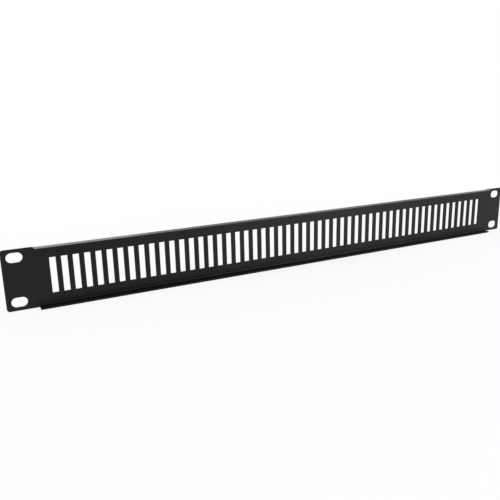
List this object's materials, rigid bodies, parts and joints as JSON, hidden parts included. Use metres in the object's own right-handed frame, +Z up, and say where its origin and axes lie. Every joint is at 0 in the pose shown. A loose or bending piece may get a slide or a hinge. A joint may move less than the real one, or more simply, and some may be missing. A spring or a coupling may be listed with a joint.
{
  "type": "rack blanking panel",
  "caption": "Vented 19-inch rack blanking panel: a black folded steel strip with a row of upright vent slots, stiffening flanges above and below, and obround screw slots in its ears.",
  "frame": {"origin": "centre of the rectangle of screw slots, in the plane of the ears' back faces, which seat on the rack's rails", "axes": "+X along the panel, +Y through the panel into the rack, the way the flanges point, so the front faces -Y; +Z up"},
  "size_m": [0.4826, 0.0083, 0.0436],
  "materials": {
    "black_powder_coat": "satin black powder coat over steel sheet"
  },
  "bodies": {
    "root": {"blanking_panel": "black_powder_coat"}
  },
  "joints": []
}
